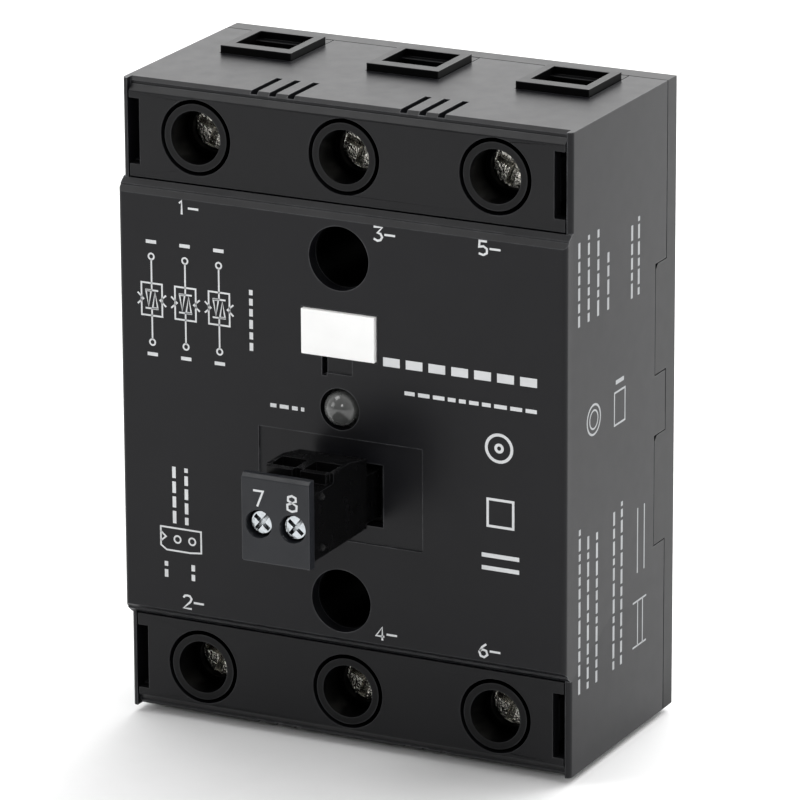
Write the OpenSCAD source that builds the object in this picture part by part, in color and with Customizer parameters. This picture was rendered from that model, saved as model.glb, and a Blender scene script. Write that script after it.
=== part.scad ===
// Three-pole solid state relay, panel mount, with a pull-off control plug.
// Units are millimetres. +Z is up, the front faces -Y, and X runs to the right.
// The origin is the centre of the rear mounting face.

/* [Overall size] */
// Width of the case
body_w = 67.5; // [66:0.5:84]
// Height of the case without the wire collars
body_h = 90.5; // [89.5:0.5:110]
// Depth from the mounting face to the terminal covers
band_depth = 34.3; // [33.5:0.1:42]
// How far the middle plate stands in front of the terminal covers
plate_step = 1.7; // [1.2:0.1:2.4]
// Thickness of the side walls
wall_t = 1.6; // [1.4:0.1:2]
// Thickness of the top and bottom walls
roof_t = 1.5; // [1.4:0.1:1.8]

/* [Load terminals] */
// Distance from one pole to the next
pole_pitch = 22.5; // [20.5:0.1:22.8]
// Thread diameter of a load screw
load_screw_d = 5; // [4:0.1:5.4]
// Land between a screwdriver hole and the top or bottom wall
access_land = 0.45; // [0.2:0.05:0.8]
// How far a wire collar stands out of the case
collar_raise = 1.05; // [0.6:0.05:2]
// Clear depth of a wire entry
wire_gap = 6.1; // [5:0.1:6.4]
// Clear width of a wire entry
wire_w = 8.3; // [7:0.1:8.8]

/* [Mounting] */
// Distance between the two mounting holes
mount_pitch = 48.6; // [46:0.2:49.6]
// Diameter of the two mounting holes
mount_hole_d = 4.6; // [4:0.1:5.6]
// Bore of the wells that the mounting screws go down
well_d = 9; // [8:0.1:11]
// Thickness of the metal baseplate
baseplate_t = 3; // [2.5:0.1:3.4]

/* [Control plug] */
// Pitch of the two control poles
plug_pitch = 5.08; // [5:0.01:5.2]
// How far the plug reaches in front of the middle plate
plug_reach = 19; // [17:0.5:23]
// Shank diameter of a plug screw
plug_screw_d = 2.6; // [2.1:0.1:2.9]

/* [Small front parts] */
// Diameter of the indicator dome
dome_d = 4.7; // [3.8:0.1:5.6]
// Width of the marking tag
tag_w = 11.1; // [9:0.1:14]
// Height of the marking tag
tag_h = 6.4; // [5.5:0.1:7.5]

/* [Hidden] */
$fn = 48;
hw = body_w / 2;
hh = body_h / 2;
front_y = -band_depth;
plate_y = front_y - plate_step;
plate_back_y = front_y + 0.3;
seam = 0.2;
rim_y = -baseplate_t - 0.8;
floor_y = rim_y - 1.6;
plate_gap = 0.05;
rim_inset = 1;
corner_r = 0.7;
edge_cut = 0.5;
lip_y = front_y + 0.9;
band_inset = 0.8;
tab_z = [12.35, -12.2];
tab_half = 7.85;
tab_depth = 3.6;
vent_pitch = 2.8;
vent_w = 1;

// load terminal, front to back
head_d = load_screw_d * 1.4;
head_t = 2.6;
head_bore_d = head_d + 0.6;
lip_d = head_d - 0.8;
tube_d = head_d + 0.5;
tube_od = tube_d + 2;
access_d = tube_od + 1.1;
thread_d = load_screw_d + 0.12;
pole_z = hh - roof_t - access_d / 2 - access_land;
band_z = pole_z - access_d / 2 - 1.5;
latch_z = [pole_z - 4.7, pole_z + 4.5];
latch_half = 3;
wire_back_y = floor_y - 3.2;
wire_front_y = wire_back_y - wire_gap;
tongue_t = 1.5;
tongue_y = wire_front_y - tongue_t;
cage_back_y = wire_back_y + 1.4;
cage_front_y = tongue_y - 3.2;
cage_travel = wire_gap - 0.2;
cavity_front_y = cage_front_y - cage_travel - 0.2;
block_front_y = cavity_front_y - 3.8;
head_back_y = cavity_front_y - 0.1;
tongue_w = load_screw_d + 0.8;
cage_w = tongue_w + 2.6;
cavity_w = cage_w + 0.6;
chamber_w = max(cavity_w, wire_w) + 2.6;
cage_h = head_d + 1.2;
collar_w = wire_w + 2.6;
collar_front_y = wire_front_y - 2;
collar_back_y = wire_back_y + 2.3;
block_z0 = pole_z - tube_od / 2 - 1;
block_z1 = hh - roof_t - 0.15;

// wells and mounting
well_od = well_d + 1.8;
mount_z = mount_pitch / 2;
boss_d = 6.5;
case_screw_x = pole_pitch / 2;
case_screw_d = 2.9;

// power part
window_x = pole_pitch + 7.1;
window_z = mount_z - well_od / 2 - 1.2;
tile_y = -baseplate_t - 1.05;
track_y = tile_y - 0.3;
chip_y = track_y - 0.4;
tile_z = window_z - 2.6;
tile_w = 13.8;
chip_x = 2.6;
chip_z = 5.5;
chip_size = [4.4, 5.6];
strap_w = 2.6;
strap_y = floor_y - 0.1;
strap_t = 1.4;
side_x = well_od / 2 + 0.5;
side_w = 3.2;
shelf_z1 = block_z0 - 0.3;
shelf_z0 = max(shelf_z1 - 1.5, mount_z + well_od / 2 + 0.4);

// control board
board_front_y = front_y + 12.1;
board_t = 1.6;
board_back_y = board_front_y + board_t;
board_x = hw - wall_t - 1.85;
board_z = band_z - 2.6;
post_x = board_x - 2.1;
post_z = board_z - 2.6;
opto_z1 = mount_z - well_od / 2 - 1.4;
opto_size = [6.4, 3.5, 8.8];
capacitor_w = 5;
capacitor_t = 9.5;
resistor_d = 3.6;
resistor_h = 8;
row_z = [-18, -6];
disc_d = 9;
disc_t = 4;
gate_x = 5.9;
gate_z = 3;

// middle plate features
tag_z = mount_z - 10.65;
tag_leg_x = tag_w / 2 - 1.55;
dome_z = 3.1;
header_z = -8.5;
recess_w = 24.8;
recess_z = [header_z - 7, header_z + 7.6];
recess_t = 0.25;
tag_seat_t = 0.4;
pry_x = [-2.65, -1.95];
pry_end_x = 1.9;
header_w = plug_pitch * 2 + 2.04;
header_h = 8.4;
shroud_y = front_y + 0.1;
shroud_floor_y = shroud_y + 8.5;

// plug
plug_w = plug_pitch * 2 - 0.06;
face_y = plate_y - plug_reach;
face_t = 1.5;
face_z0 = -13.4;
face_z1 = -1;
plug_z0 = -12.5;
plug_z1 = -1.75;
plug_front_y = face_y + face_t;
plug_back_y = plate_y - 2;
plug_tip_y = shroud_floor_y - 0.5;
plug_screw_z = -7.9;
plug_head_d = plug_screw_d + 0.6;
plug_hole_d = plug_head_d + 0.7;
plug_cavity_y = plug_front_y + 1;
plug_tongue_y = plug_cavity_y + 3.9;
plug_tongue_t = 0.7;
plug_wire_y = plug_tongue_y + plug_tongue_t + 0.1;
plug_wire_gap = 3.6;
plug_clamp_front_y = plug_tongue_y - 1.1;
plug_cavity_w = 3.8;

// block between two X, two Y and two Z limits
module block(x, y, z) {
  translate([x[0], y[0], z[0]])
    cube([x[1] - x[0], y[1] - y[0], z[1] - z[0]]);
}

// block centred on an X position
module block_at(x, w, y, z) {
  block([x - w / 2, x + w / 2], y, z);
}

// round bar along Y
module bar_y(x, z, y, d) {
  translate([x, y[1], z])
    rotate([90, 0, 0])
      cylinder(h = y[1] - y[0], d = d);
}

// flat outline in Y and Z drawn out along X
module side_shape(x, points) {
  translate([x[0], 0, 0])
    rotate([90, 0, 90])
      linear_extrude(height = x[1] - x[0])
        polygon(points);
}

// what is cut off to round an upright front corner at depth y
module corner_round(y, z) {
  both_sides()
    difference() {
      block([hw - corner_r, hw + 1], [y - 1, y + corner_r], z);
      translate([hw - corner_r, y + corner_r, z[0] - 1])
        cylinder(h = z[1] - z[0] + 2, r = corner_r);
    }
}

// the three poles
module at_poles() {
  for (i = [-1, 0, 1])
    translate([i * pole_pitch, 0, 0])
      children();
}

// the same shape above and below the middle
module both_ends() {
  children();
  mirror([0, 0, 1])
    children();
}

// the same shape left and right
module both_sides() {
  children();
  mirror([1, 0, 0])
    children();
}

// ---------- case ----------

module plate_outline() {
  step = plate_step / 2;
  side_shape([-hw, hw], [
    [front_y + 1, -band_z], [front_y, -band_z - 0.1],
    [front_y - step, -band_z + 0.55], [front_y - step, -band_z + 0.8], [plate_y, -band_z + 1.5],
    [plate_y, band_z - 1.5], [front_y - step, band_z - 0.8], [front_y - step, band_z - 0.55],
    [front_y, band_z + 0.1], [front_y + 1, band_z]
  ]);
}

module band_cut() {
  rebate_y = front_y + 2.1;
  inner_x = hw - wall_t;
  band_x = hw - band_inset;
  latch_hole = latch_half + 0.2;
  block([-band_x, band_x], [front_y - 1, lip_y], [band_z + 0.1, hh + 1]);
  block([-band_x, band_x], [lip_y - 1, rebate_y], [band_z + 0.1, hh - roof_t]);
  block([-inner_x, inner_x], [rebate_y - 1, front_y + 6], [band_z + 1.4, hh - roof_t]);
  side_shape([-band_x, band_x], [
    [lip_y - 0.1, hh - edge_cut - 0.1], [lip_y + edge_cut + 0.1, hh + 0.1], [lip_y - 0.1, hh + 0.1]
  ]);
  both_sides() {
    block([inner_x - 1, band_x], [rebate_y - 1, front_y + 4.3], latch_z);
    block(
      [inner_x - 1, inner_x + 0.45],
      [front_y + 5.7, front_y + 7.4],
      [pole_z - latch_hole, pole_z + latch_hole]
    );
  }
}

module vent_slots() {
  for (group = [-0.5, 0.5])
    for (k = [-1, 0, 1])
      block_at(group * pole_pitch + k * vent_pitch, vent_w, [front_y + 1, front_y + 8.6], [hh - 3, hh + 1]);
}

module tab_notches() {
  both_sides()
    for (z = tab_z)
      block(
        [hw - wall_t - 1, hw + 1],
        [rim_y - tab_depth - 0.15, rim_y + 1],
        [z - tab_half - 0.15, z + tab_half + 0.15]
      );
}

module housing() {
  inner_x = hw - wall_t;
  inner_z = hh - roof_t;
  color([0.16, 0.16, 0.17])
    difference() {
      union() {
        block([-hw, hw], [front_y, rim_y - seam], [-hh, hh]);
        plate_outline();
      }
      block([-inner_x, inner_x], [plate_back_y, 0], [-band_z + 1.2, band_z - 1.2]);
      block([-inner_x, inner_x], [front_y + 3.6, 0], [-inner_z, inner_z]);
      both_ends() {
        band_cut();
        vent_slots();
        at_poles()
          block_at(0, collar_w + 0.3, [collar_front_y - 0.15, 0], [inner_z - 1, hh + 1]);
      }
      tab_notches();
      corner_round(plate_y, [-band_z, band_z]);
      both_ends()
        corner_round(front_y, [band_z + 0.2, hh + 1]);
      both_ends() {
        bar_y(0, mount_z, [plate_y - 1, 0], well_d);
        bar_y(0, mount_z, [plate_back_y, 0], well_od + 2 * seam);
      }
      block_at(0, header_w + 0.5, [plate_y - 1, 0], [header_z - 4.45, header_z + 4.45]);
      block_at(0, recess_w, [plate_y - 1, plate_y + recess_t], recess_z);
      bar_y(0, dome_z, [plate_y - 1, 0], dome_d + 1.2);
      block_at(
        0, tag_w + 0.3,
        [plate_y - 1, plate_y + tag_seat_t],
        [tag_z - tag_h / 2 - 0.15, tag_z + tag_h / 2 + 0.15]
      );
      both_sides()
        block_at(tag_leg_x, 1, [plate_y - 1, 0], [tag_z - 1.6, tag_z + 1.6]);
      block(pry_x, [plate_y - 1, plate_y + 1.6], [tag_z - 6.05, tag_z - 3]);
      block([pry_x[0], pry_end_x], [plate_y - 1, plate_y + 0.3], [tag_z - 5.6, tag_z - 3]);
    }
}

module terminal_cover() {
  rear_y = front_y + 2.05;
  half_w = hw - 1;
  z0 = band_z + 0.3;
  z1 = hh - roof_t - 0.15;
  arm_z = [pole_z - latch_half, pole_z + latch_half];
  color([0.17, 0.17, 0.18])
    difference() {
      union() {
        side_shape([-half_w, half_w], [
          [front_y, z0], [front_y, hh - 1.75], [front_y + 0.85, hh - 0.85],
          [front_y + 0.85, z1], [rear_y, z1], [rear_y, z0]
        ]);
        both_sides() {
          block([hw - wall_t - 2.1, hw - wall_t - 1.1], [rear_y - 0.5, front_y + 7.2], arm_z);
          block([hw - wall_t - 1.5, hw - wall_t + 0.3], [front_y + 6, front_y + 7.2], arm_z);
        }
      }
      both_sides()
        block([hw - 2.6, hw], [front_y - 1, rear_y + 1], latch_z);
      at_poles()
        bar_y(0, pole_z, [front_y - 1, rear_y + 1], access_d);
    }
}

module terminal_cover_upper() {
  terminal_cover();
}

module terminal_cover_lower() {
  mirror([0, 0, 1])
    terminal_cover();
}

module snap_tab(z) {
  y0 = rim_y - tab_depth;
  z0 = z - tab_half;
  z1 = z + tab_half;
  rotate([0, -90, 0])
    translate([0, 0, -hw])
      linear_extrude(height = wall_t - 0.1)
        polygon([
          [z0, y0], [z1 - 0.7, y0], [z1, y0 + 0.7], [z1, rim_y + 0.1], [z0, rim_y + 0.1]
        ]);
}

module base_frame() {
  color([0.15, 0.15, 0.16])
    difference() {
      union() {
        block([-hw, hw], [rim_y, -0.9], [-hh, hh]);
        block(
          [-hw + wall_t + 0.2, hw - wall_t - 0.2],
          [floor_y, rim_y + 0.1],
          [-hh + roof_t + 0.3, hh - roof_t - 0.3]
        );
        both_sides()
          for (z = tab_z)
            snap_tab(z);
        both_ends() {
          bar_y(0, mount_z, [plate_back_y + 0.1, floor_y + 0.1], well_od);
          both_sides() {
            bar_y(case_screw_x, pole_z, [floor_y - 6.6, floor_y + 0.1], boss_d);
            bar_y(post_x, post_z, [board_back_y, floor_y + 0.1], 4);
            bar_y(post_x, post_z, [board_front_y - 0.8, floor_y + 0.1], 2);
          }
        }
      }
      block(
        [-hw + rim_inset, hw - rim_inset], [-baseplate_t - plate_gap, 1], [-hh + rim_inset, hh - rim_inset]
      );
      block([-window_x, window_x], [floor_y - 1, 1], [-window_z, window_z]);
      difference() {
        block(
          [-window_x - 1.5, window_x + 1.5], [-baseplate_t - 0.6, 0], [-window_z - 1.1, window_z + 1.1]
        );
        block([-window_x - 0.5, window_x + 0.5], [-baseplate_t - 1, 1], [-window_z - 0.1, window_z + 0.1]);
      }
      both_ends() {
        bar_y(0, mount_z, [plate_back_y - 1, 1], well_d);
        both_sides()
          bar_y(case_screw_x, pole_z, [floor_y - 5.6, 1], case_screw_d + 0.1);
      }
    }
}

module terminal_block() {
  color([0.13, 0.13, 0.14])
    difference() {
      union() {
        block_at(0, pole_pitch * 2 + 4, [floor_y - 3.6, floor_y], [block_z0, block_z0 + 1.6]);
        at_poles() {
          block_at(0, chamber_w, [block_front_y, floor_y], [block_z0, block_z1]);
          block_at(0, collar_w, [collar_front_y, collar_back_y], [block_z1 - 0.1, hh + collar_raise]);
          block_at(0, collar_w, [collar_back_y - 0.1, rim_y - seam], [block_z1 - 0.1, hh]);
          bar_y(0, pole_z, [front_y, block_front_y + 0.1], tube_od);
        }
      }
      at_poles() {
        block_at(0, cavity_w, [cavity_front_y, cage_back_y + 0.2], [block_z0 + 1.4, block_z1 - 1]);
        bar_y(0, pole_z, [block_front_y + 0.8, cavity_front_y + 1], head_bore_d);
        bar_y(0, pole_z, [front_y - 1, cavity_front_y], lip_d);
        bar_y(0, pole_z, [front_y - 1, block_front_y], tube_d);
        block_at(0, wire_w, [wire_front_y, wire_back_y], [block_z1 - 2, hh + collar_raise + 1]);
        block_at(0, wire_w, [wire_front_y, wire_back_y + 1.3], [hh, hh + collar_raise + 1]);
        block_at(0, tongue_w + 0.4, [tongue_y - 0.15, wire_front_y + 0.15], [block_z0 - 1, block_z0 + 2]);
      }
    }
}

module terminal_block_upper() {
  terminal_block();
}

module terminal_block_lower() {
  mirror([0, 0, 1])
    terminal_block();
}

module baseplate() {
  color([0.72, 0.73, 0.75])
    difference() {
      block([-hw + 1.2, hw - 1.2], [-baseplate_t, 0], [-hh + 1.2, hh - 1.2]);
      both_ends() {
        bar_y(0, mount_z, [-baseplate_t - 1, 1], mount_hole_d);
        both_sides() {
          bar_y(case_screw_x, pole_z, [-baseplate_t - 1, 1], case_screw_d + 0.6);
          bar_y(case_screw_x, pole_z, [-1.7, 1], case_screw_d * 2 + 0.6);
        }
      }
    }
}

module base_seal() {
  color([0.6, 0.25, 0.2])
    difference() {
      block_at(0, window_x * 2 + 2.8, [-baseplate_t - 0.55, -baseplate_t], [-window_z - 1, window_z + 1]);
      block_at(0, window_x * 2 + 1.2, [-baseplate_t - 1, 0], [-window_z - 0.2, window_z + 0.2]);
    }
}

module baseplate_screws() {
  color([0.7, 0.7, 0.72])
    both_ends()
      both_sides()
        difference() {
          union() {
            bar_y(case_screw_x, pole_z, [-1.65, -0.1], case_screw_d * 2);
            bar_y(case_screw_x, pole_z, [floor_y - 4.6, -1], case_screw_d);
          }
          translate([case_screw_x, 0.5, pole_z])
            rotate([90, 0, 0])
              cylinder(h = 1.5, d = 3, $fn = 6);
        }
}

// ---------- power part ----------

module power_substrates() {
  color([0.93, 0.92, 0.88])
    at_poles()
      block_at(0, tile_w, [tile_y, -baseplate_t], [-tile_z, tile_z]);
}

module copper_tracks() {
  color([0.8, 0.48, 0.3])
    at_poles()
      both_ends()
        block_at(0, tile_w - 0.8, [track_y, tile_y], [1, tile_z - 0.8]);
}

module thyristor_chips() {
  color([0.35, 0.37, 0.42])
    at_poles()
      for (s = [-1, 1])
        block_at(
          s * chip_x, chip_size[0],
          [chip_y, track_y],
          [-s * chip_z - chip_size[1] / 2, -s * chip_z + chip_size[1] / 2]
        );
}

module chip_straps() {
  color([0.78, 0.5, 0.32])
    at_poles()
      for (s = [-1, 1])
        mirror([0, 0, s > 0 ? 1 : 0]) {
          block_at(s * chip_x, strap_w, [chip_y - 0.6, chip_y - 0.2], [-4.6, 7]);
          block_at(s * chip_x, strap_w, [chip_y - 0.3, chip_y], [4, 7]);
          block_at(s * chip_x, strap_w, [chip_y - 0.3, track_y], [-4.6, -3.4]);
        }
}

module gate_pins() {
  color([0.85, 0.8, 0.6])
    at_poles()
      for (x = [-gate_x, gate_x])
        for (z = [-gate_z, gate_z])
          block_at(x, 0.7, [board_front_y - 1, track_y], [z - 0.35, z + 0.35]);
}

module straight_busbar() {
  block_at(0, tongue_w, [tongue_y, wire_front_y], [shelf_z0, pole_z + cage_h / 2]);
  block_at(0, tongue_w, [tongue_y, strap_y], [shelf_z0, shelf_z1]);
  block_at(0, tongue_w, [strap_y - strap_t, strap_y], [tile_z - 2.4, shelf_z1]);
  block_at(0, tongue_w, [strap_y - strap_t, track_y], [tile_z - 2.4, tile_z - 1]);
}

// the middle poles step sideways past the mounting wells
module side_busbar() {
  arm_y = [strap_y - strap_t, strap_y];
  block_at(0, tongue_w, [tongue_y, wire_front_y], [shelf_z0, pole_z + cage_h / 2]);
  block([-tongue_w / 2, side_x + side_w], [tongue_y, strap_y], [shelf_z0, shelf_z1]);
  block([side_x, side_x + side_w], arm_y, [tile_z - 1.6, shelf_z1]);
  block([3, side_x + side_w], arm_y, [tile_z - 2.4, tile_z + 1.6]);
  block([3, 6], [strap_y - strap_t, track_y], [tile_z - 2.4, tile_z - 1]);
}

module busbar_at(column, lower) {
  color([0.82, 0.68, 0.42])
    translate([column * pole_pitch, 0, 0])
      mirror([0, 0, lower])
        if (column == 0)
          side_busbar();
        else
          straight_busbar();
}

module busbar_1() {
  busbar_at(-1, 0);
}

module busbar_2() {
  busbar_at(-1, 1);
}

module busbar_3() {
  busbar_at(0, 0);
}

module busbar_4() {
  busbar_at(0, 1);
}

module busbar_5() {
  busbar_at(1, 0);
}

module busbar_6() {
  busbar_at(1, 1);
}

// ---------- load clamps ----------

module load_screw_at(column, lower) {
  head_y = head_back_y - head_t;
  s = lower == 1 ? -1 : 1;
  color([0.83, 0.84, 0.86])
    difference() {
      union() {
        bar_y(column * pole_pitch, s * pole_z, [head_y, head_back_y], head_d);
        bar_y(column * pole_pitch, s * pole_z, [head_back_y - 0.5, tongue_y - 0.05], load_screw_d);
      }
      translate([column * pole_pitch, 0, s * pole_z])
        for (turn = [20, 110])
          rotate([0, turn, 0])
            block_at(0, 1, [head_y - 1, head_y + 1.4], [-head_d * 0.4, head_d * 0.4]);
    }
}

module clamp_cage_at(column, lower) {
  s = lower == 1 ? -1 : 1;
  color([0.75, 0.76, 0.78])
    translate([column * pole_pitch, 0, s * pole_z])
      difference() {
        block_at(0, cage_w, [cage_front_y, cage_back_y], [-cage_h / 2, cage_h / 2]);
        block_at(0, cage_w - 2, [tongue_y - 0.8, wire_back_y], [-cage_h, cage_h]);
        bar_y(0, 0, [cage_front_y - 1, tongue_y], thread_d);
      }
}

module load_screw_1() {
  load_screw_at(-1, 0);
}

module load_screw_2() {
  load_screw_at(-1, 1);
}

module load_screw_3() {
  load_screw_at(0, 0);
}

module load_screw_4() {
  load_screw_at(0, 1);
}

module load_screw_5() {
  load_screw_at(1, 0);
}

module load_screw_6() {
  load_screw_at(1, 1);
}

module clamp_cage_1() {
  clamp_cage_at(-1, 0);
}

module clamp_cage_2() {
  clamp_cage_at(-1, 1);
}

module clamp_cage_3() {
  clamp_cage_at(0, 0);
}

module clamp_cage_4() {
  clamp_cage_at(0, 1);
}

module clamp_cage_5() {
  clamp_cage_at(1, 0);
}

module clamp_cage_6() {
  clamp_cage_at(1, 1);
}

// ---------- control board ----------

module control_board() {
  board_y = [board_front_y, board_back_y];
  cut_y = [board_front_y - 1, board_back_y + 1];
  color([0.1, 0.35, 0.2])
    difference() {
      block([-board_x, board_x], board_y, [-board_z, board_z]);
      both_ends() {
        bar_y(0, mount_z, cut_y, well_od + 0.6);
        block_at(0, well_od + 0.6, cut_y, [mount_z, board_z + 1]);
        both_sides()
          bar_y(post_x, post_z, cut_y, 2.1);
      }
      at_poles()
        for (x = [-gate_x, gate_x])
          for (z = [-gate_z, gate_z])
            block_at(x, 1, cut_y, [z - 0.5, z + 0.5]);
      both_sides()
        block_at(plug_pitch / 2, 1.2, cut_y, [header_z - 0.6, header_z + 0.6]);
    }
}

module optocouplers() {
  color([0.9, 0.9, 0.88])
    at_poles()
      block_at(
        0, opto_size[0], [board_front_y - opto_size[1], board_front_y], [opto_z1 - opto_size[2], opto_z1]
      );
}

module snubber_capacitors() {
  color([0.85, 0.7, 0.15])
    for (x = [-24.5, -17, 17])
      block_at(x, capacitor_w, [board_front_y - capacitor_t, board_front_y], row_z);
}

module snubber_resistors() {
  color([0.35, 0.5, 0.6])
    for (x = [-11, 11, 24.5])
      translate([x, board_front_y - resistor_d / 2 - 0.2, row_z[0]])
        cylinder(h = resistor_h, d = resistor_d);
}

module surge_suppressors() {
  color([0.15, 0.3, 0.6])
    at_poles() {
      translate([0, board_back_y + disc_d / 2 + 0.5, 6])
        cylinder(h = disc_t, d = disc_d);
      block_at(0, 5, [board_back_y, board_back_y + 2], [7, 9]);
    }
}

module driver_chip() {
  color([0.08, 0.08, 0.09])
    block_at(12, 4, [board_front_y - 1.6, board_front_y], [5.5, 10.5]);
}

module board_resistors() {
  color([0.12, 0.12, 0.14])
    for (k = [0, 1, 2])
      both_sides()
        block_at(10, 2, [board_front_y - 0.6, board_front_y], [13 + k * 2.4, 14.2 + k * 2.4]);
}

module indicator_led() {
  color([0.9, 0.9, 0.7])
    block_at(0, 3, [board_front_y - 1.1, board_front_y], [dome_z - 0.8, dome_z + 0.8]);
}

module light_pipe() {
  dome_r = dome_d / 2 + 0.25;
  rise = sqrt(dome_r * dome_r - dome_d * dome_d / 4);
  color([0.85, 0.86, 0.85])
    union() {
      bar_y(0, dome_z, [plate_y, board_front_y - 1.9], dome_d);
      bar_y(0, dome_z, [plate_back_y, plate_back_y + 0.9], dome_d + 2.7);
      intersection() {
        translate([0, plate_y + rise, dome_z])
          sphere(r = dome_r);
        bar_y(0, dome_z, [plate_y - dome_r, plate_y + 0.1], dome_d);
      }
    }
}

// ---------- small front parts ----------

module marking_tag() {
  color([0.96, 0.96, 0.95])
    union() {
      block_at(0, tag_w, [plate_y - 0.55, plate_y + 0.4], [tag_z - tag_h / 2, tag_z + tag_h / 2]);
      both_sides()
        block_at(tag_leg_x, 0.8, [plate_y + 0.3, plate_y + 3.6], [tag_z - 1.5, tag_z + 1.5]);
    }
}

module input_header() {
  color([0.12, 0.12, 0.13])
    difference() {
      block_at(0, header_w, [shroud_y, board_front_y], [header_z - header_h / 2, header_z + header_h / 2]);
      block_at(0, header_w - 1.9, [shroud_y - 1, shroud_floor_y], [header_z - 3.5, header_z + 3.5]);
      both_sides()
        block_at(
          plug_pitch / 2, 1.04, [shroud_floor_y - 1, board_front_y + 1], [header_z - 0.52, header_z + 0.52]
        );
    }
}

module header_pins() {
  color([0.88, 0.87, 0.82])
    both_sides()
      block_at(plug_pitch / 2, 1, [shroud_y + 1.7, board_back_y + 1.6], [header_z - 0.5, header_z + 0.5]);
}

// ---------- control plug ----------

module plug_pole_cuts() {
  block_at(0, plug_cavity_w, [plug_cavity_y, plug_wire_y + 4.7], [plug_z0 + 0.5, plug_z1 - 2.15]);
  block_at(0, plug_cavity_w, [plug_wire_y, plug_wire_y + plug_wire_gap], [plug_z1 - 3, plug_z1 + 1]);
  block_at(0, 2.6, [plug_wire_y, plug_back_y + 1.1], [plug_z0 + 0.5, plug_z0 + 1.3]);
  block_at(0, 2.6, [plug_back_y - 0.3, plug_back_y + 1.1], [plug_z0 + 0.5, header_z]);
  block_at(0, 3.4, [plug_back_y - 0.3, plug_tip_y + 1], [header_z - 1.8, header_z + 1.8]);
  bar_y(0, plug_screw_z, [plug_front_y - 1, plug_front_y + 0.6], plug_hole_d);
  bar_y(0, plug_screw_z, [plug_front_y - 1, plug_cavity_y + 1], plug_screw_d + 0.1);
}

module plug_body() {
  groove_z = plug_z1 - 1.45;
  half_w = plug_w / 2;
  color([0.06, 0.06, 0.07])
    difference() {
      union() {
        block([-half_w, half_w], [plug_front_y, plug_back_y], [plug_z0, groove_z]);
        side_shape([-half_w, half_w], [
          [plug_wire_y, groove_z - 0.1], [plug_wire_y, plug_z1], [plug_wire_y + 4.8, plug_z1],
          [plug_back_y, plug_z1 - 0.9], [plug_back_y, groove_z - 0.1]
        ]);
        both_sides() {
          block_at(
            plug_pitch / 2, plug_cavity_w + 0.1,
            [plug_wire_y - 1.1, plug_wire_y + 0.1],
            [groove_z - 0.1, plug_z1]
          );
          for (z = [plug_z1 - 2.2, plug_z0 + 1.4])
            translate([half_w, plug_front_y + 2.3, z])
              sphere(d = 1.1);
        }
        block([-half_w, half_w], [plug_back_y - 0.1, plug_tip_y], [header_z - 3.35, header_z + 3.35]);
      }
      both_sides()
        translate([plug_pitch / 2, 0, 0])
          plug_pole_cuts();
    }
}

module plug_face() {
  half_w = plug_w / 2 + 0.03;
  color([0.2, 0.2, 0.21])
    difference() {
      side_shape([-half_w, half_w], [
        [face_y, face_z0 + 0.3], [face_y, face_z1 - 0.5], [face_y + 0.5, face_z1],
        [plug_front_y, face_z1], [plug_front_y, face_z0], [face_y + 0.3, face_z0]
      ]);
      both_sides()
        bar_y(plug_pitch / 2, plug_screw_z, [face_y - 1, plug_front_y + 1], plug_hole_d);
    }
}

module plug_contacts() {
  color([0.86, 0.78, 0.55])
    both_sides()
      translate([plug_pitch / 2, 0, 0]) {
        block_at(0, 2.4, [plug_tongue_y, plug_tongue_y + plug_tongue_t], [plug_z0 + 0.6, plug_z1 - 2.5]);
        block_at(0, 2.4, [plug_tongue_y, plug_back_y + 1], [plug_z0 + 0.6, plug_z0 + 1.2]);
        block_at(0, 2.4, [plug_back_y - 0.2, plug_back_y + 1], [plug_z0 + 0.6, header_z - 1.2]);
        difference() {
          block_at(0, 3.2, [plug_back_y - 0.2, plug_tip_y - 0.8], [header_z - 1.7, header_z + 1.7]);
          block_at(0, 1.2, [plug_back_y + 0.6, plug_tip_y], [header_z - 0.6, header_z + 0.6]);
        }
      }
}

module plug_screw_at(s) {
  head_y = plug_front_y - 0.5;
  color([0.85, 0.86, 0.88])
    difference() {
      union() {
        bar_y(s * plug_pitch / 2, plug_screw_z, [head_y, plug_front_y + 0.55], plug_head_d);
        bar_y(s * plug_pitch / 2, plug_screw_z, [plug_front_y, plug_tongue_y - 0.05], plug_screw_d);
      }
      translate([s * plug_pitch / 2, 0, plug_screw_z])
        for (turn = [40, 130])
          rotate([0, turn, 0])
            block_at(0, 0.55, [head_y - 1, head_y + 0.6], [-plug_head_d * 0.42, plug_head_d * 0.42]);
    }
}

module plug_screw_1() {
  plug_screw_at(-1);
}

module plug_screw_2() {
  plug_screw_at(1);
}

module plug_clamp_at(s) {
  back_y = plug_wire_y + plug_wire_gap;
  color([0.78, 0.79, 0.8])
    translate([s * plug_pitch / 2, 0, plug_screw_z])
      difference() {
        block_at(0, plug_cavity_w - 0.2, [plug_clamp_front_y, back_y + 0.8], [-3, 3]);
        block_at(0, 2.8, [plug_tongue_y - 0.15, back_y], [-4, 4]);
        bar_y(0, 0, [plug_clamp_front_y - 1, plug_tongue_y], plug_screw_d + 0.1);
      }
}

module plug_clamp_1() {
  plug_clamp_at(-1);
}

module plug_clamp_2() {
  plug_clamp_at(1);
}

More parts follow.
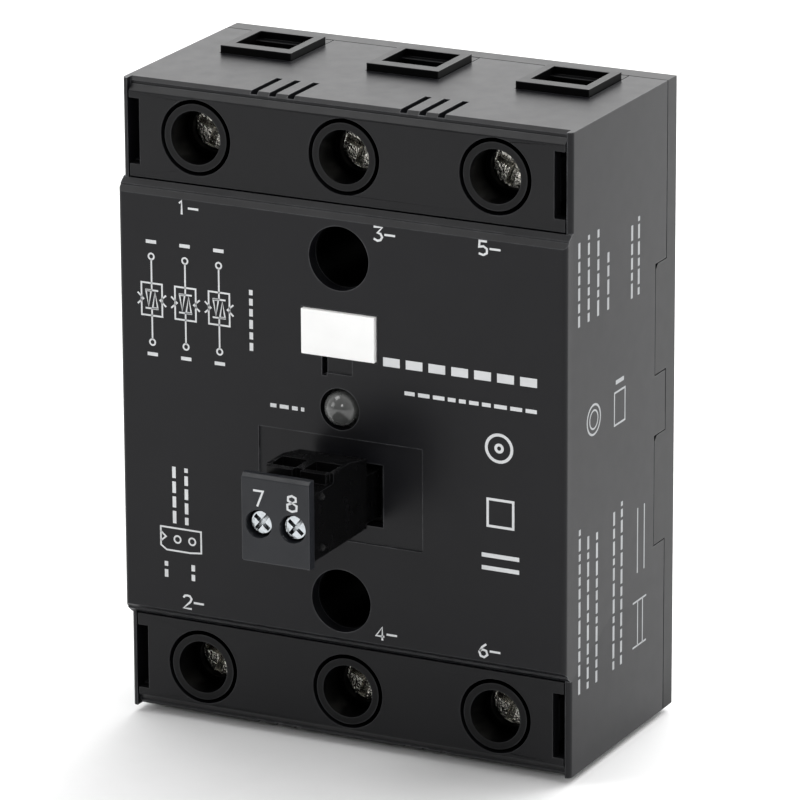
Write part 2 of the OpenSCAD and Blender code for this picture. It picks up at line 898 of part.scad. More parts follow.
housing();
terminal_cover_upper();
terminal_cover_lower();
base_frame();
terminal_block_upper();
terminal_block_lower();
baseplate();
base_seal();
baseplate_screws();
control_board();
optocouplers();
snubber_capacitors();
snubber_resistors();
surge_suppressors();
driver_chip();
board_resistors();
indicator_led();
light_pipe();
power_substrates();
copper_tracks();
thyristor_chips();
chip_straps();
gate_pins();
input_header();
header_pins();
marking_tag();
busbar_1();
busbar_2();
busbar_3();
busbar_4();
busbar_5();
busbar_6();
load_screw_1();
load_screw_2();
load_screw_3();
load_screw_4();
load_screw_5();
load_screw_6();
clamp_cage_1();
clamp_cage_2();
clamp_cage_3();
clamp_cage_4();
clamp_cage_5();
clamp_cage_6();
plug_body();
plug_face();
plug_contacts();
plug_screw_1();
plug_screw_2();
plug_clamp_1();
plug_clamp_2();
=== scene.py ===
import math
import random

import bpy
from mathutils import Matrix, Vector


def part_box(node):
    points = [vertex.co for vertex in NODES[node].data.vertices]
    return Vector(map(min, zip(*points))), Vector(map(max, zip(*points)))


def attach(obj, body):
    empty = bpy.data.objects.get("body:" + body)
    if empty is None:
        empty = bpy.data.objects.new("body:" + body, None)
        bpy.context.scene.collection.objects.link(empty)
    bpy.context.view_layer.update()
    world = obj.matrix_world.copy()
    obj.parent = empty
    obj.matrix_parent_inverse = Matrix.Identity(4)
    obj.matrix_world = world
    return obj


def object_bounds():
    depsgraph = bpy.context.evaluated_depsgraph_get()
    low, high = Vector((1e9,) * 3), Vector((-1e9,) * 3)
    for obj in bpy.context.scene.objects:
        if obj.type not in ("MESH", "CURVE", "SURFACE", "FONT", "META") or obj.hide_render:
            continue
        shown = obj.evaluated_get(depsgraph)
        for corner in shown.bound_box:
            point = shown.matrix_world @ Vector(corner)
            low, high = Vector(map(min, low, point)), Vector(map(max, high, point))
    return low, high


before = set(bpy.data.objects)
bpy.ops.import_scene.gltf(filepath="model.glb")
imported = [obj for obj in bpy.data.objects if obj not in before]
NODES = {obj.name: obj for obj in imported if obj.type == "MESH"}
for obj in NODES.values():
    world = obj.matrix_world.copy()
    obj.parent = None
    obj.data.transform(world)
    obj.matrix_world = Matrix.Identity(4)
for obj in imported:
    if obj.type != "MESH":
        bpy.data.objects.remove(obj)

CAD_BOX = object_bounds()
MM = 0.001
TERMINALS = range(1, 7)


def centre(node):
    """Middle of a CAD node's box, in mm."""
    low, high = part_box(node)
    return [a / MM for a in (low + high) / 2]


# ---------------------------------------------------------------- materials

# patches of colour, of gloss and of edge wear and painted highlight, in cycles per metre
COLOUR_PATCH = 140
GLOSS_PATCH = 380
WEAR_AND_HIGHLIGHT_PATCH = 420
# fine patches for small bright screws
SPECKLE_PATCH = 2400
# the band that most noise values lie in
NOISE_LOW = 0.3
NOISE_HIGH = 0.7
# rays for each point of a mask
EDGE_SAMPLES = 6
RECESS_SAMPLES = 8


def add(tree, kind, **values):
    """One shader node, with its properties or its input sockets set by name."""
    made = tree.nodes.new(kind)
    for key, value in values.items():
        if hasattr(made, key):
            setattr(made, key, value)
        else:
            made.inputs[key.replace("_", " ")].default_value = value
    return made


def noise(tree, coord, scale, detail, stretch=(1, 1, 1)):
    """Noise in object space. Scale is in cycles per metre."""
    where = coord.outputs["Object"]
    if stretch != (1, 1, 1):
        mapping = add(tree, "ShaderNodeMapping")
        mapping.inputs["Scale"].default_value = stretch
        tree.links.new(where, mapping.inputs["Vector"])
        where = mapping.outputs["Vector"]
    made = add(tree, "ShaderNodeTexNoise", Scale=scale, Detail=detail, Roughness=0.55)
    tree.links.new(where, made.inputs["Vector"])
    return made.outputs["Fac"]


def remap(tree, source, low, high, start=NOISE_LOW, end=NOISE_HIGH):
    """A value that runs from low to high while its source runs from start to end."""
    made = add(tree, "ShaderNodeMapRange", From_Min=start, From_Max=end, To_Min=low, To_Max=high)
    tree.links.new(source, made.inputs["Value"])
    return made.outputs["Result"]


def ramp(tree, source, low, high, start=NOISE_LOW, end=NOISE_HIGH):
    """A colour that runs from low to high while its source runs from start to end."""
    made = tree.nodes.new("ShaderNodeValToRGB")
    first, last = made.color_ramp.elements
    first.position, last.position = start, end
    first.color, last.color = (*low, 1), (*high, 1)
    tree.links.new(source, made.inputs["Fac"])
    return made.outputs["Color"]


def edge_mask(tree, radius):
    """1 on edges and 0 on flats: how far a rounded normal turns from the true one."""
    bevel = add(tree, "ShaderNodeBevel", Radius=radius)
    bevel.samples = EDGE_SAMPLES
    flat = add(tree, "ShaderNodeNewGeometry")
    dot = add(tree, "ShaderNodeVectorMath", operation="DOT_PRODUCT")
    tree.links.new(bevel.outputs["Normal"], dot.inputs[0])
    tree.links.new(flat.outputs["Normal"], dot.inputs[1])
    return remap(tree, dot.outputs["Value"], 1.0, 0.0, start=0.8, end=0.99)


def shade_recess(tree, base, bsdf, reach):
    """Paints shade into what lies within holes: darkens and dulls it, looking reach mm around. Gives the new
    base colour.
    """
    open_sky = add(tree, "ShaderNodeAmbientOcclusion", Distance=reach * MM)
    open_sky.samples = RECESS_SAMPLES
    fac = remap(tree, open_sky.outputs["AO"], 0.05, 1.0, start=0.25, end=0.8)
    mix = add(tree, "ShaderNodeMix", data_type="RGBA", blend_type="MULTIPLY")
    mix.inputs["Factor"].default_value = 1.0
    tree.links.new(base, mix.inputs["A"])
    tree.links.new(fac, mix.inputs["B"])
    gloss = remap(tree, fac, 0.02, 0.5, start=0.05, end=1.0)
    tree.links.new(gloss, bsdf.inputs["Specular IOR Level"])
    return mix.outputs["Result"]


def wear_and_highlight_edges(tree, coord, base, wear_and_highlight, radius):
    """Mixes the base colour to another tone along edges, in patches. A lighter tone is partly wear and partly
    a painted highlight along the rounded edges. Gives the new base colour.
    """
    patches = remap(tree, noise(tree, coord, WEAR_AND_HIGHLIGHT_PATCH, 3), 0.35, 1.0, start=0.35, end=0.65)
    patchy = add(tree, "ShaderNodeMath", operation="MULTIPLY")
    tree.links.new(edge_mask(tree, radius * MM), patchy.inputs[0])
    tree.links.new(patches, patchy.inputs[1])
    mix = add(tree, "ShaderNodeMix", data_type="RGBA")
    tree.links.new(patchy.outputs["Value"], mix.inputs["Factor"])
    tree.links.new(base, mix.inputs["A"])
    mix.inputs["B"].default_value = (*wear_and_highlight, 1)
    return mix.outputs["Result"]


def surface(name, colour, rough, grain, relief, drift, rough_drift=0.06, stretch=(1, 1, 1),
            wear_and_highlight=None, wear_and_highlight_radius=0.35, painted_shade_reach=None, patch=COLOUR_PATCH, **shader):
    """Procedural finish: colour drift, uneven gloss, a fine relief, edges tinted to another tone that is
    partly wear and partly painted highlight, and painted shade within holes.

    grain, the edge radius and the reach of the painted shade are in mm, and drift is a share of the colour.
    The names left over are sockets of the shader.
    """
    made = bpy.data.materials.new(name)
    made.use_nodes = True
    tree = made.node_tree
    bsdf = tree.nodes["Principled BSDF"]
    coord = tree.nodes.new("ShaderNodeTexCoord")
    broad = noise(tree, coord, patch, detail=4)
    fine = noise(tree, coord, 1 / (grain * MM), 2, stretch)
    low = [c * (1 - drift) for c in colour]
    high = [min(1, c * (1 + drift)) for c in colour]
    base = ramp(tree, broad, low, high)
    if wear_and_highlight:
        base = wear_and_highlight_edges(tree, coord, base, wear_and_highlight, wear_and_highlight_radius)
    if painted_shade_reach:
        base = shade_recess(tree, base, bsdf, painted_shade_reach)
    tree.links.new(base, bsdf.inputs["Base Color"])
    uneven = noise(tree, coord, GLOSS_PATCH, 3, stretch)
    gloss = remap(tree, uneven, rough - rough_drift, rough + rough_drift)
    tree.links.new(gloss, bsdf.inputs["Roughness"])
    bump = add(tree, "ShaderNodeBump", Strength=relief, Distance=grain * MM * 0.3)
    tree.links.new(fine, bump.inputs["Height"])
    tree.links.new(bump.outputs["Normal"], bsdf.inputs["Normal"])
    for key, value in shader.items():
        bsdf.inputs[key.replace("_", " ")].default_value = value
    return made


# sets the scale of Blender's wave so that one of its dark or light bands has about the width given
BAND_SCALE = 0.159


def banded(name, dark, light, rough, band, **shader):
    """Metal with milled lines, band mm wide: a wave across X gives its colour and relief."""
    made = surface(name, light, rough, grain=0.15, relief=0.12, drift=0.1, stretch=(1, 1, 0.08), **shader)
    tree = made.node_tree
    bsdf = tree.nodes["Principled BSDF"]
    coord = tree.nodes.new("ShaderNodeTexCoord")
    wave = add(tree, "ShaderNodeTexWave", Scale=BAND_SCALE / (band * MM), Distortion=1.6, Detail=2.0)
    tree.links.new(coord.outputs["Object"], wave.inputs["Vector"])
    tree.links.new(ramp(tree, wave.outputs["Fac"], dark, light, 0.0, 1.0), bsdf.inputs["Base Color"])
    bump = add(tree, "ShaderNodeBump", Strength=0.3, Distance=band * MM * 0.1)
    tree.links.new(wave.outputs["Fac"], bump.inputs["Height"])
    tree.links.new(bump.outputs["Normal"], bsdf.inputs["Normal"])
    return made


# a low index keeps the black plastic dark above a white floor
CASE_IOR = 1.3
BLOCK_IOR = 1.25
# on these black plastics the lighter edge tone is partly wear and partly a painted highlight along the
# rounded edges
case = surface("satin_case", (0.0052, 0.0053, 0.0066), 0.34, grain=0.14, relief=0.1, drift=0.08,
               rough_drift=0.02, wear_and_highlight=(0.085, 0.087, 0.092), wear_and_highlight_radius=0.3, IOR=CASE_IOR)
cover = surface("satin_cover", (0.0054, 0.0055, 0.0064), 0.36, grain=0.15, relief=0.1, drift=0.08,
                rough_drift=0.02, wear_and_highlight=(0.07, 0.072, 0.076), wear_and_highlight_radius=0.25, IOR=CASE_IOR)
# the base frame and the terminal blocks get painted shade that darkens and dulls them within their holes
frame_black = surface("satin_base", (0.0052, 0.0053, 0.006), 0.36, grain=0.15, relief=0.1, drift=0.08,
                      rough_drift=0.02, wear_and_highlight=(0.04, 0.041, 0.043), painted_shade_reach=14, IOR=CASE_IOR)
terminal = surface("satin_terminal", (0.0035, 0.0036, 0.004), 0.34, grain=0.18, relief=0.07, drift=0.1,
                   rough_drift=0.02, wear_and_highlight=(0.035, 0.036, 0.038), painted_shade_reach=10, IOR=BLOCK_IOR)
plug_black = surface("gloss_plug", (0.0022, 0.0022, 0.0024), 0.24, grain=0.25, relief=0.05, drift=0.12,
                     wear_and_highlight=(0.03, 0.03, 0.032), wear_and_highlight_radius=0.2, IOR=BLOCK_IOR)
plug_grey = surface("satin_plug_face", (0.0096, 0.0108, 0.0138), 0.42, grain=0.12, relief=0.12, drift=0.1,
                    wear_and_highlight=(0.07, 0.074, 0.08), wear_and_highlight_radius=0.2, IOR=1.4)
tag_white = surface("white_tag", (0.93, 0.93, 0.92), 0.42, grain=0.2, relief=0.06, drift=0.03,
                    wear_and_highlight=(0.7, 0.7, 0.68), wear_and_highlight_radius=0.15, IOR=1.5)
# the load screws and the plug screws get painted shade that darkens and dulls them within their holes
nickel = surface("nickel_screw", (0.82, 0.8, 0.73), 0.16, grain=0.34, relief=1.0, drift=0.2,
                 patch=SPECKLE_PATCH, wear_and_highlight=(0.95, 0.93, 0.88), wear_and_highlight_radius=0.2, painted_shade_reach=1.1, Metallic=1.0)
plug_nickel = surface("plug_screw_nickel", (0.5, 0.53, 0.55), 0.2, grain=0.5, relief=0.5, drift=0.12,
                      patch=SPECKLE_PATCH, wear_and_highlight=(0.8, 0.83, 0.85), wear_and_highlight_radius=0.12, painted_shade_reach=0.9, Metallic=1.0)
zinc = surface("zinc_clamp", (0.56, 0.57, 0.58), 0.34, grain=0.3, relief=0.2, drift=0.14, rough_drift=0.1,
               wear_and_highlight=(0.8, 0.8, 0.8), Metallic=1.0)
tinned = surface("tinned_contact", (0.72, 0.67, 0.55), 0.3, grain=0.25, relief=0.15, drift=0.12, Metallic=1.0)
brass = surface("brass_busbar", (0.7, 0.56, 0.3), 0.32, grain=0.3, relief=0.18, drift=0.14,
                wear_and_highlight=(0.86, 0.72, 0.42), Metallic=1.0)
copper = surface("bare_copper", (0.7, 0.34, 0.2), 0.35, grain=0.3, relief=0.15, drift=0.16, Metallic=1.0)
dark_steel = surface("dark_steel", (0.16, 0.16, 0.165), 0.32, grain=0.25, relief=0.25, drift=0.15,
                     wear_and_highlight=(0.3, 0.3, 0.31), wear_and_highlight_radius=0.2, Metallic=1.0)
milled = banded("milled_baseplate", (0.2, 0.205, 0.21), (0.29, 0.295, 0.3), 0.38, 0.35, Metallic=1.0)
rubber = surface("seal_rubber", (0.3, 0.07, 0.045), 0.7, grain=0.2, relief=0.3, drift=0.15)
laminate = surface("board_green", (0.012, 0.085, 0.035), 0.3, grain=0.5, relief=0.12, drift=0.25)
chip = surface("chip_black", (0.014, 0.014, 0.015), 0.55, grain=0.08, relief=0.3, drift=0.15)
box_yellow = surface("capacitor_yellow", (0.62, 0.42, 0.05), 0.35, grain=0.2, relief=0.1, drift=0.08)
enamel = surface("resistor_blue", (0.1, 0.22, 0.3), 0.28, grain=0.35, relief=0.2, drift=0.15)
disc_blue = surface("suppressor_blue", (0.02, 0.07, 0.3), 0.25, grain=0.6, relief=0.3, drift=0.15)
lens = surface("led_lens", (0.75, 0.75, 0.5), 0.2, grain=0.3, relief=0.05, drift=0.06)
ceramic = surface("ceramic_tile", (0.8, 0.79, 0.73), 0.45, grain=0.12, relief=0.25, drift=0.05)
silicon = surface("chip_silicon", (0.12, 0.13, 0.17), 0.12, grain=0.4, relief=0.04, drift=0.1, Metallic=0.6)
dome = surface("dome_plastic", (0.1, 0.102, 0.1), 0.14, grain=0.5, relief=0.05, drift=0.08,
               Transmission_Weight=0.3, IOR=1.49, Coat_Weight=0.3, Coat_Roughness=0.08)
print_white = surface("print_white", (0.62, 0.63, 0.64), 0.5, grain=0.1, relief=0.2, drift=0.08)
print_grey = surface("print_grey", (0.34, 0.35, 0.36), 0.55, grain=0.1, relief=0.2, drift=0.12)

# each CAD node's finish, and the most that its edges are rounded, in mm
FINISH = {
    "housing": (case, 0.4),
    "terminal_cover_upper": (cover, 0.25), "terminal_cover_lower": (cover, 0.25),
    "base_frame": (frame_black, 0.25),
    "terminal_block_upper": (terminal, 0.22), "terminal_block_lower": (terminal, 0.22),
    "baseplate": (milled, 0.25), "base_seal": (rubber, 0.1), "baseplate_screws": (dark_steel, 0.15),
    "control_board": (laminate, 0.1), "optocouplers": (ceramic, 0.3),
    "snubber_capacitors": (box_yellow, 0.5), "snubber_resistors": (enamel, 0.6),
    "surge_suppressors": (disc_blue, 0.8), "driver_chip": (chip, 0.15),
    "board_resistors": (chip, 0.08), "indicator_led": (lens, 0.2), "light_pipe": (dome, 0),
    "power_substrates": (ceramic, 0.05), "copper_tracks": (copper, 0.05),
    "thyristor_chips": (silicon, 0.04), "chip_straps": (copper, 0.08), "gate_pins": (tinned, 0.08),
    "input_header": (terminal, 0.15), "header_pins": (tinned, 0.12), "marking_tag": (tag_white, 0.14),
    "plug_body": (plug_black, 0.18), "plug_face": (plug_grey, 0.15), "plug_contacts": (tinned, 0.06),
    "plug_screw_1": (plug_nickel, 0.07), "plug_screw_2": (plug_nickel, 0.07),
    "plug_clamp_1": (zinc, 0.1), "plug_clamp_2": (zinc, 0.1),
}
for k in TERMINALS:
    FINISH[f"busbar_{k}"] = (brass, 0.15)
    FINISH[f"load_screw_{k}"] = (nickel, 0.14)
    FINISH[f"clamp_cage_{k}"] = (zinc, 0.18)

# once its flat faces were dissolved, rounding closed the lower cover's screwdriver holes
KEEP_TRIANGLES = ("terminal_cover_upper", "terminal_cover_lower")
WELD_MM = 0.002
FLAT_DEGREES = 0.5
SHARP_DEGREES = 32


def dress(node, material, round_mm):
    """Gives a CAD node its finish, and rounds its sharp edges with modifiers only."""
    obj = NODES[node]
    obj.data.materials.clear()
    obj.data.materials.append(material)
    with bpy.context.temp_override(object=obj, active_object=obj, selected_objects=[obj]):
        bpy.ops.mesh.customdata_custom_splitnormals_clear()
    obj.data.polygons.foreach_set("use_smooth", [True] * len(obj.data.polygons))
    weld = obj.modifiers.new("weld", "WELD")
    weld.merge_threshold = WELD_MM * MM
    if round_mm:
        if node not in KEEP_TRIANGLES:
            flat = obj.modifiers.new("flat_faces", "DECIMATE")
            flat.decimate_type = "DISSOLVE"
            flat.angle_limit = math.radians(FLAT_DEGREES)
        bevel = obj.modifiers.new("round_edges", "BEVEL")
        bevel.width = round_mm * MM
        bevel.segments = 3
        bevel.limit_method = "ANGLE"
        bevel.angle_limit = math.radians(SHARP_DEGREES)
        bevel.use_clamp_overlap = True
        bevel.harden_normals = True


for node, (material, round_mm) in FINISH.items():
    dress(node, material, round_mm)


# ---------------------------------------------------------------- printed marks

# sizes and places are in mm: u runs across the plate, or along the wall to the rear, and v runs up
FRONT_INK = 0.012
SIDE_INK = 0.005
LINE = 0.24
NUMBER_LINE = 0.3
SMALL = 0.55
SIDE_SMALL = 0.6
# keeps the mitre of a sharp corner from reaching far out
MITRE_LIMIT = 0.35
# a row of dashes ends once no more than this share of the shortest dash is left
LAST_DASH = 0.6


def strip(points, width, closed=False):
    """A mitred ribbon of a width along a line of points: its left and right edges."""
    count = len(points)
    left, right = [], []
    for i, (u, v) in enumerate(points):
        before = points[i - 1] if closed or i else None
        after = points[(i + 1) % count] if closed or i < count - 1 else None
        normals = []
        for a, b in ((before, (u, v)), ((u, v), after)):
            if a is None or b is None:
                continue
            du, dv = b[0] - a[0], b[1] - a[1]
            size = math.hypot(du, dv)
            normals.append((-dv / size, du / size))
        nu = sum(n[0] for n in normals) / len(normals)
        nv = sum(n[1] for n in normals) / len(normals)
        reach = width / 2 / max(MITRE_LIMIT, nu * nu + nv * nv)
        left.append((u + nu * reach, v + nv * reach))
        right.append((u - nu * reach, v - nv * reach))
    return left, right, closed


def moved(points, u, v):
    """Points given about 0, 0, moved to u, v."""
    return [(u + a, v + b) for a, b in points]


def ring(u, v, radius, width, steps=20):
    turns = [2 * math.pi * k / steps for k in range(steps)]
    circle = [(radius * math.cos(t), radius * math.sin(t)) for t in turns]
    return strip(moved(circle, u, v), width, closed=True)


def rectangle(u0, v0, u1, v1, width):
    return strip([(u0, v0), (u1, v0), (u1, v1), (u0, v1)], width, closed=True)


def dash(u0, u1, v, height):
    return strip([(u0, v), (u1, v)], height)


def dashes(u0, u1, v, height, seed, low, high, gap=0.5):
    """A row of plain dashes, low to high long, that stands for a line of small print."""
    draw = random.Random(seed)
    made, u = [], u0
    while u < u1 - low * LAST_DASH:
        end = min(u1, u + draw.uniform(low, high))
        made.append(dash(u, end, v, height))
        u = end + gap
    return made


def turned(points, u, v):
    """Points turned a quarter left about u, v."""
    return [(u - (b - v), v + (a - u)) for a, b in points]


def column(u, v, length, height, seed, low, high, gap=0.5):
    """A line of small print that starts at u, v and runs upwards."""
    row = dashes(u, u + length, v, height, seed, low, high, gap)
    return [(turned(left, u, v), turned(right, u, v), closed) for left, right, closed in row]


# each number is one stroke, on a field DIGIT_H high
DIGIT_H = 1.5
DIGITS = {
    "1": [(0.2, 1.2), (0.5, 1.5), (0.5, 0)],
    "2": [(0, 1.2), (0.2, 1.45), (0.5, 1.5), (0.8, 1.45), (1, 1.15), (0.85, 0.8), (0, 0), (1, 0)],
    "3": [(0, 1.5), (1, 1.5), (0.45, 0.88), (0.8, 0.8), (1, 0.45), (0.8, 0.1), (0.45, 0), (0, 0.18)],
    "4": [(0.75, 0), (0.75, 1.5), (0, 0.45), (1, 0.45)],
    "5": [(0.95, 1.5), (0.1, 1.5), (0.05, 0.85), (0.55, 0.95), (0.95, 0.7), (0.95, 0.25), (0.55, 0),
          (0, 0.12)],
    "6": [(0.85, 1.5), (0.35, 1.1), (0.02, 0.55), (0.2, 0.08), (0.6, 0), (0.98, 0.3), (0.85, 0.75),
          (0.4, 0.85), (0.05, 0.6)],
    "7": [(0, 1.5), (1, 1.5), (0.4, 0)],
    "8": [(0.5, 0.82), (0.1, 1.0), (0.12, 1.35), (0.5, 1.5), (0.88, 1.35), (0.9, 1.0), (0.5, 0.82),
          (0.98, 0.6), (0.95, 0.15), (0.5, 0), (0.05, 0.15), (0.02, 0.6), (0.5, 0.82)],
}


def digit(mark, u, v, size):
    """A plain number of a height, its lower left corner at u, v."""
    scale = size / DIGIT_H
    return strip([(u + a * scale, v + b * scale) for a, b in DIGITS[mark]], NUMBER_LINE)


def ink(name, strips, place, out, body, material, depth):
    """Thin closed layer of ink on a flat face. place turns u, v in mm into a point on the face."""
    lift = out * (depth * MM)
    verts, faces = [], []
    for left, right, closed in strips:
        start, count = len(verts), len(left)
        for a, b in zip(left, right):
            la, lb = place(*a), place(*b)
            verts += [la, lb, la + lift, lb + lift]
        last = count if closed else count - 1
        for i in range(last):
            p, q = start + 4 * i, start + 4 * ((i + 1) % count)
            faces += [(p + 2, q + 2, q + 3, p + 3), (p, p + 1, q + 1, q)]
            faces += [(p, q, q + 2, p + 2), (p + 1, p + 3, q + 3, q + 1)]
        if not closed:
            end = start + 4 * (count - 1)
            faces += [(start, start + 2, start + 3, start + 1), (end, end + 1, end + 3, end + 2)]
    mesh = bpy.data.meshes.new(name)
    mesh.from_pydata(verts, [], faces)
    mesh.validate()
    made = bpy.data.objects.new(name, mesh)
    bpy.context.scene.collection.objects.link(made)
    made.data.materials.append(material)
    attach(made, body)


FRONT = Vector((0, -1, 0))
RIGHT = Vector((1, 0, 0))
plate_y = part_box("housing")[0].y
half_w, _, half_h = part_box("housing")[1]
plug_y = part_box("plug_face")[0].y


def on_plate(u, v):
    return Vector((u * MM, plate_y, v * MM))


def on_plug(u, v):
    return Vector((u * MM, plug_y, v * MM))


def on_side(u, v):
    """The right wall, with u running from the front to the rear."""
    return Vector((half_w, u * MM, v * MM))


def printed(name, strips):
    ink(name, strips, on_plate, FRONT, "case", print_white, FRONT_INK)


# what the print is placed from: the poles, the case's top, and the pieces that it stands beside
pole_x = [centre(f"load_screw_{k}")[0] for k in TERMINALS if k % 2]
top = half_h / MM
dome_x, _, dome_z = centre("light_pipe")
header_z = centre("input_header")[2]
tag_z = centre("marking_tag")[2]

# terminal numbers, each with a dash
NUMBER_H = 1.9
NUMBER_ROWS = (("135", top - 17.7), ("246", 16.2 - top))
number_x = [pole_x[0] - 2.0, pole_x[1] + 5.3, pole_x[2] - 1.6]
for numbers, v in NUMBER_ROWS:
    for u, mark in zip(number_x, numbers):
        tick = dash(u + 1.6, u + 3.2, v + NUMBER_H / 2, NUMBER_LINE)
        printed(f"print_number_{mark}", [digit(mark, u, v, NUMBER_H), tick])


def switch_symbol(u, v):
    """Two facing arrowheads in a box, on an upright line that ends in rings and dashes."""
    lines = [
        [(0, 5.7), (0, 1.3)], [(0, -1.3), (0, -5.7)],
        [(-1, 1.3), (1, 1.3)], [(-1, -1.3), (1, -1.3)],
        [(-2.2, 0.8), (-1.3, 0), (-2.2, -0.8)], [(2.2, 0.8), (1.3, 0), (2.2, -0.8)],
    ]
    heads = [[(-0.9, 1.2), (-0.1, 1.2), (-0.5, -1.1)], [(0.9, -1.2), (0.1, -1.2), (0.5, 1.1)]]
    made = [strip(moved(line, u, v), LINE) for line in lines]
    made += [strip(moved(head, u, v), LINE, closed=True) for head in heads]
    made += [ring(u, v + 6.1, 0.42, LINE), ring(u, v - 6.1, 0.42, LINE)]
    made += [dash(u - 0.8, u + 0.8, v + 8.2, 0.5), dash(u - 0.8, u + 0.8, v - 7.8, 0.5)]
    made.append(rectangle(u - 1.6, v - 2.3, u + 1.6, v + 2.3, LINE))
    return made


SWITCH_PITCH = 5.2
SWITCH_V = 14.9
for k in range(3):
    u = pole_x[0] - 6.2 + k * SWITCH_PITCH
    printed(f"print_switch_{k + 1}", switch_symbol(u, SWITCH_V))

printed("print_rating", column(pole_x[0] + 9.1, 9.6, 8.6, SMALL, 4, 0.9, 1.8))
printed("print_input", dashes(dome_x - 10.6, dome_x - 5.4, dome_z - 0.8, SMALL, 8, 0.8, 1.4))


def plug_symbol(u, v):
    """The outline of a plug, with a notch in its end and two contacts."""
    outline = [(0, 0.6), (0.9, 0), (4.6, 0), (6.3, 0.2), (6.3, 3.3), (0, 3.3)]
    notch = [(0, 1.2), (0.8, 1.9), (0, 2.6)]
    contacts = [ring(u + 2.6, v + 1.7, 0.5, LINE), ring(u + 4.9, v + 1.7, 0.5, LINE)]
    return [strip(moved(outline, u, v), LINE, closed=True), strip(moved(notch, u, v), LINE)] + contacts


printed("print_plug_symbol", plug_symbol(pole_x[0] - 5.4, header_z - 12.4))
for k in range(2):
    line = column(pole_x[0] - 3.2 + k * 1.9, header_z - 8.4, 8.2, SMALL, 20 + k, 0.9, 1.9)
    printed(f"print_input_line_{k + 1}", line)
for k in range(2):
    line = column(pole_x[0] - 4.6 + k * 4.2, header_z - 16.4, 2.3, SMALL, 30 + k, 0.9, 1.3)
    printed(f"print_contact_{k + 1}", line)

# plain bars and dashes where the name and the type would be
BAR_W = 2.5
BAR_H = 1.25
BAR_PITCH = 3.4
bar_x, bar_z = pole_x[1] + 6.6, tag_z - 2.9
bar_starts = [bar_x + k * BAR_PITCH for k in range(7)]
printed("print_heading", [dash(u, u + BAR_W, bar_z, BAR_H) for u in bar_starts])
printed("print_type_line", dashes(bar_x + 3.2, bar_x + 23.4, bar_z - 4.0, SMALL, 12, 1.0, 2.1))

# plain signs where the approval marks would be
mark_x = pole_x[2] + 1.6
ring_x, ring_z = mark_x - 0.2, dome_z - 2.2
printed("print_plain_ring", [ring(ring_x, ring_z, 1.9, 0.42, 28), ring(ring_x, ring_z, 0.5, 0.4)])
printed("print_plain_square", [rectangle(mark_x - 1.9, -10.2, mark_x + 1.9, -6.4, 0.36)])
printed("print_plain_bars", [dash(mark_x - 2.8, mark_x + 2.8, v, 0.6) for v in (-14.4, -16.2)])

# numbers over the two plug screws
for mark, screw in (("7", "plug_screw_1"), ("8", "plug_screw_2")):
    u, _, v = centre(screw)
    number = digit(mark, u - 0.75, v + 2.5, 2.2)
    ink(f"print_plug_number_{mark}", [number], on_plug, FRONT, "control_plug", print_white, FRONT_INK)

# small print on the right wall, in columns that run upwards: place, bottom and top of each
SIDE_COLUMNS = [
    (-32.0, 18.0, 30.0), (-29.0, 18.0, 30.0), (-26.0, 18.0, 30.0), (-22.8, 18.0, 26.0),
    (-15.2, 17.5, 28.5), (-13.0, 17.5, 28.5),
    (-31.5, -34.0, -10.5), (-28.8, -34.0, -12.0), (-26.0, -34.0, -12.5), (-20.5, -34.0, -11.0),
    (-18.0, -34.0, -10.5),
]
# plain lines on the right wall: two ends and a width
SIDE_LINES = [
    ((-14.2, -33.0), (-9.8, -33.0), 0.26), ((-14.2, -26.5), (-9.8, -26.5), 0.26),
    ((-12.6, -33.0), (-12.6, -26.5), 0.26), ((-11.0, -33.0), (-11.0, -26.5), 0.26),
    ((-12.8, -22.4), (-12.8, -13.0), 0.3), ((-10.6, -22.4), (-10.6, -13.0), 0.3),
]
side = []
for k, (u, low, high) in enumerate(SIDE_COLUMNS):
    side += column(u, low, high - low, SIDE_SMALL, 50 + k, 0.9, 2.2, 0.45)
side += [ring(-27.2, 3.8, 2.1, 0.3, 28), ring(-27.2, 3.8, 1.3, 0.25, 24)]
side += [rectangle(-20.6, 1.0, -17.2, 5.6, 0.28), dash(-20.2, -17.6, 7.0, 0.6)]
side += [strip([start, end], width) for start, end, width in SIDE_LINES]
ink("print_side", side, on_side, RIGHT, "case", print_grey, SIDE_INK)


# ---------------------------------------------------------------- stage, light, camera

scene = bpy.context.scene

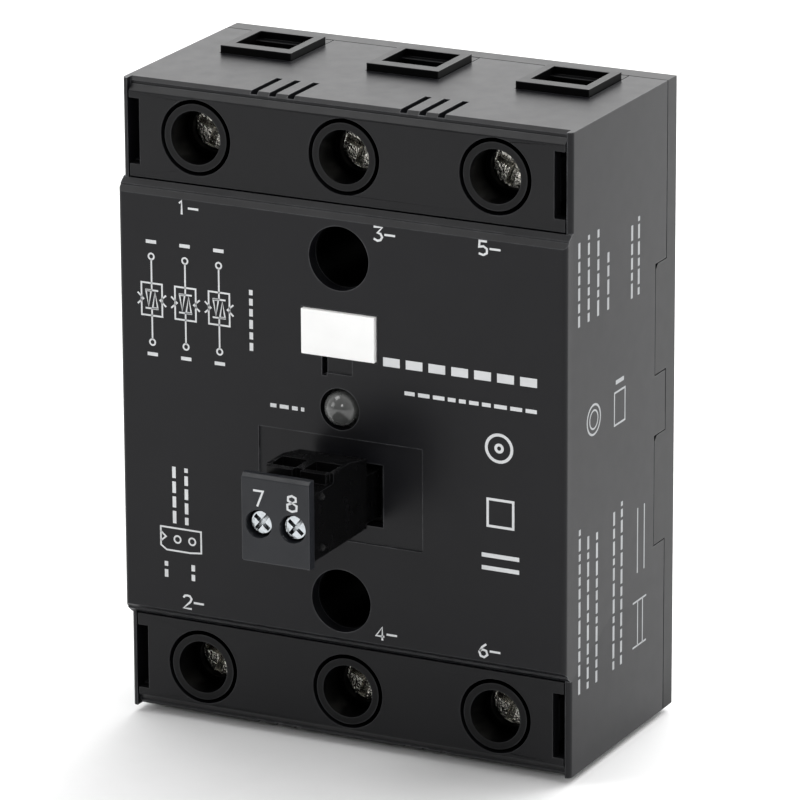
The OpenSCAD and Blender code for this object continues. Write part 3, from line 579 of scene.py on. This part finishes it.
# half the floor's side, in metres
FLOOR = 6.0
floor_z = min(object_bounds()[0][2], CAD_BOX[0][2])
corners = [(x * FLOOR, y * FLOOR, floor_z) for x, y in ((-1, -1), (1, -1), (1, 1), (-1, 1))]
floor_mesh = bpy.data.meshes.new("floor")
floor_mesh.from_pydata(corners, [], [(0, 1, 2, 3)])
floor = bpy.data.objects.new("floor", floor_mesh)
scene.collection.objects.link(floor)
pale = surface("pale_floor", (0.86, 0.86, 0.86), 0.75, grain=0.6, relief=0.03, drift=0.01)
floor.data.materials.append(pale)

# the room is dim in front of the object and bright behind it
SKY_FRONT = 0.24
SKY_BACK = 1.9
world = bpy.data.worlds.new("studio")
scene.world = world
world.use_nodes = True
sky = world.node_tree
back = sky.nodes["Background"]
look = sky.nodes.new("ShaderNodeTexCoord")
split = sky.nodes.new("ShaderNodeSeparateXYZ")
sky.links.new(look.outputs["Generated"], split.inputs["Vector"])
strength = remap(sky, split.outputs["Y"], SKY_FRONT, SKY_BACK, start=-0.8, end=0.6)
sky.links.new(strength, back.inputs["Strength"])
back.inputs["Color"].default_value = (1, 1, 1, 1)


def softbox(name, at, target, size, power):
    """A rectangular light of size metres and power watts that faces its target."""
    light = bpy.data.lights.new(name, "AREA")
    light.shape = "RECTANGLE"
    light.size, light.size_y = size
    light.energy = power
    made = bpy.data.objects.new(name, light)
    made.location = at
    made.rotation_euler = (Vector(target) - Vector(at)).to_track_quat("-Z", "Y").to_euler()
    scene.collection.objects.link(made)


softbox("back_box", (0.25, 1.0, 1.0), (0, 0, 0), (1.4, 0.9), 14.0)
softbox("left_box", (-0.75, -0.75, 0.35), (0, -0.03, 0), (0.4, 0.4), 1.5)
softbox("top_box", (-0.45, -0.35, 0.9), (0, 0, 0), (0.4, 0.4), 2.0)
softbox("front_box", (0.35, -1.1, 0.55), (0, -0.03, 0), (0.22, 0.22), 1.7)

CAMERA_AT = (0.380746, -0.776022, 0.267038)
CAMERA_DEGREES = (72.4834, 0.2606, 26.583)
CAMERA_LENS = 290.745
camera = bpy.data.cameras.new("camera")
camera.sensor_width = 36.0
camera.lens = CAMERA_LENS
camera.clip_start = 0.05
eye = bpy.data.objects.new("camera", camera)
eye.location = CAMERA_AT
eye.rotation_euler = [math.radians(a) for a in CAMERA_DEGREES]
scene.collection.objects.link(eye)
scene.camera = eye
scene.view_settings.view_transform = "Standard"
